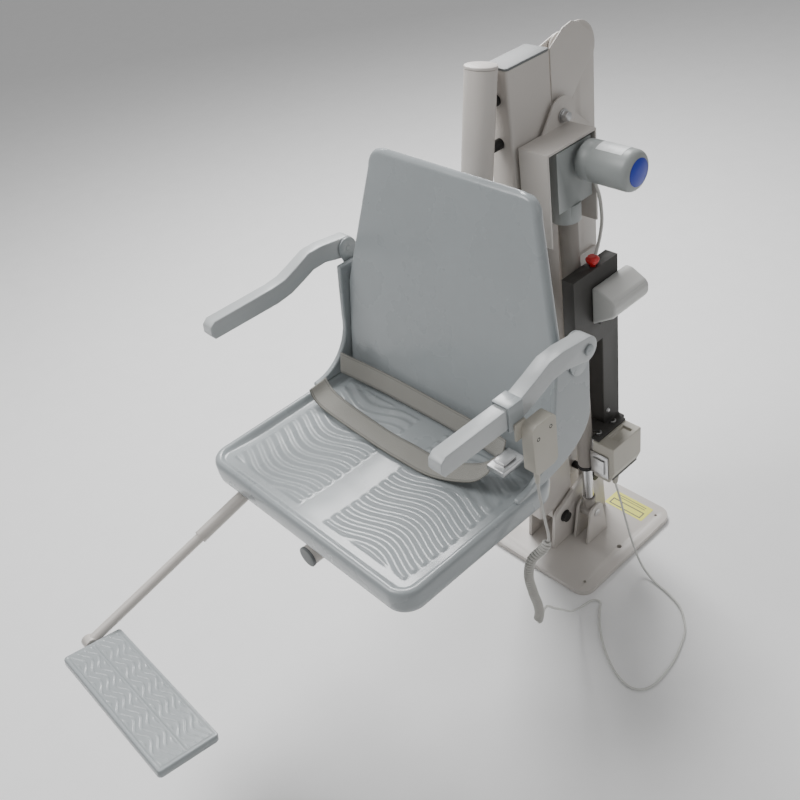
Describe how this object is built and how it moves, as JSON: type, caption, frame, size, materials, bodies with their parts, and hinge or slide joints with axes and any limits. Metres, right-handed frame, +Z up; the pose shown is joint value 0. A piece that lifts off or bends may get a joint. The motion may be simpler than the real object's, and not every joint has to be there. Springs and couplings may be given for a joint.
{
  "type": "belted seat lift",
  "caption": "Moulded seat with flip-up armrests and footrest on an upright arm linkage with a linear actuator, handset and anchored base plate.",
  "frame": {"origin": "middle of the base plate's underside, on the deck", "axes": "+X the sitter's left, +Y behind the seat, +Z up; the seat faces -Y"},
  "size_m": [0.6957, 1.1994, 1.108],
  "materials": {
    "frame_paint": "satin powder coat, warm light grey",
    "dark_steel": "blackened steel",
    "white_plastic": "moulded bushes",
    "bright_steel": "plain steel",
    "label_yellow": "plain label",
    "cap_grey": "moulded cap",
    "motor_grey": "satin grey paint",
    "disc_blue": "plain disc",
    "copper": "copper windings",
    "tube_paint": "satin grey paint",
    "black_rubber": "seal",
    "cable_grey": "cable jacket",
    "dark_plastic": "textured dark plastic",
    "light_plastic": "light cover",
    "board_green": "printed board",
    "stop_red": "red push button",
    "case_beige": "beige case",
    "seat_moulding": "glossy blue-grey moulding",
    "webbing": "woven belt",
    "key_grey": "soft keys"
  },
  "bodies": {
    "base": {"base_plate": "frame_paint", "hub_cheeks": "frame_paint", "front_pivot_bolt": "dark_steel", "rear_pivot_bolt": "dark_steel", "pivot_bushes": "white_plastic", "rod_clevis": "frame_paint", "clevis_bolt": "bright_steel", "floor_label": "label_yellow"},
    "front_link": {"front_link": "frame_paint"},
    "rear_arm": {"rear_arm": "frame_paint", "hanger_plate": "frame_paint", "hanger_bolt": "bright_steel", "rail_plate": "frame_paint", "mount_rail": "dark_plastic", "rail_screws": "bright_steel", "control_housing": "dark_plastic", "control_cover": "light_plastic", "circuit_board": "board_green", "dock_case": "case_beige", "dock_top": "dark_plastic", "dock_latches": "bright_steel", "battery_pack": "dark_plastic", "cord_socket": "case_beige", "motor_cable": "cable_grey", "handset_lead_lower": "cable_grey"},
    "stop_button": {"stop_button": "stop_red"},
    "actuator": {"actuator_bracket": "frame_paint", "gear_housing": "motor_grey", "motor_case": "motor_grey", "motor_end_disc": "disc_blue", "actuator_tube": "tube_paint", "tube_seal": "black_rubber"},
    "rotor": {"motor_rotor": "copper"},
    "rod": {"actuator_rod": "bright_steel", "rod_end": "dark_steel"},
    "seat_mast": {"mast_column": "frame_paint", "column_cap": "cap_grey", "mast_ears": "frame_paint", "upper_pivot_pins": "bright_steel", "seat_post": "frame_paint", "post_cap": "frame_paint", "post_bolts": "dark_steel", "post_strut": "frame_paint", "seat_pan": "seat_moulding", "backrest": "seat_moulding", "seat_tube": "frame_paint", "seat_tube_cap": "cap_grey", "armrest_brackets": "seat_moulding", "belt_straps": "webbing", "belt_buckle": "bright_steel", "footrest_bracket": "frame_paint"},
    "left_armrest": {"armrest_left": "seat_moulding", "handset_clip": "seat_moulding", "handset_case": "case_beige", "handset_lead_upper": "cable_grey", "handset_coil": "cable_grey"},
    "right_armrest": {"armrest_right": "seat_moulding"},
    "keys": {"handset_keys": "key_grey"},
    "footrest": {"footrest_arm": "frame_paint"},
    "foot_plate": {"footrest_plate": "seat_moulding"}
  },
  "joints": [
    {"name": "arm_swing", "type": "hinge", "parent": "base", "child": "rear_arm", "pos_m": [0, 0.046, 0.135], "axis": [1, 0, 0], "range_deg": [0, 78]},
    {"name": "front_link_swing", "type": "hinge", "parent": "base", "child": "front_link", "pos_m": [0, -0.054, 0.085], "axis": [1, 0, 0], "range_deg": [-1, 79]},
    {"name": "mast_level", "type": "hinge", "parent": "front_link", "child": "seat_mast", "pos_m": [0, -0.043, 1.005], "axis": [1, 0, 0], "range_deg": [-79, 1]},
    {"name": "actuator_tilt", "type": "hinge", "parent": "rear_arm", "child": "actuator", "pos_m": [0.04, -0.003, 0.971], "axis": [1, 0, 0], "range_deg": [-2, 2]},
    {"name": "rod_stroke", "type": "slide", "parent": "actuator", "child": "rod", "axis": [0, -0.0438, 0.999], "range_m": [-0.002, 0.092]},
    {"name": "motor_spin", "type": "hinge", "parent": "actuator", "child": "rotor", "pos_m": [0.1, -0.018, 0.915], "axis": [1, 0, 0], "continuous": true},
    {"name": "stop_press", "type": "slide", "parent": "rear_arm", "child": "stop_button", "axis": [0, 0, -1], "range_m": [0, 0.004], "stiffness_N_per_m": 1500},
    {"name": "left_armrest_lift", "type": "hinge", "parent": "seat_mast", "child": "left_armrest", "pos_m": [0.2778, -0.268, 0.762], "axis": [-1, 0, 0], "range_deg": [0, 90]},
    {"name": "right_armrest_lift", "type": "hinge", "parent": "seat_mast", "child": "right_armrest", "pos_m": [-0.2778, -0.268, 0.762], "axis": [-1, 0, 0], "range_deg": [0, 90]},
    {"name": "key_press", "type": "slide", "parent": "left_armrest", "child": "keys", "axis": [1, 0, 0], "range_m": [0, 0.0012], "stiffness_N_per_m": 900},
    {"name": "footrest_fold", "type": "hinge", "parent": "seat_mast", "child": "footrest", "pos_m": [-0.2, -0.621, 0.459], "axis": [1, 0, 0], "range_deg": [0, 60]},
    {"name": "foot_plate_turn", "type": "hinge", "parent": "footrest", "child": "foot_plate", "pos_m": [-0.2, -0.99185, 0.37611], "axis": [1, 0, 0], "range_deg": [-20, 60]}
  ],
  "couplings": [
    {"joint": "front_link_swing", "follows": "arm_swing", "ratio": 1},
    {"joint": "mast_level", "follows": "arm_swing", "ratio": -1},
    {"joint": "actuator_tilt", "follows": "arm_swing", "ratio": -0.005},
    {"joint": "rod_stroke", "follows": "arm_swing", "m_per_rad": 0.06504}
  ]
}
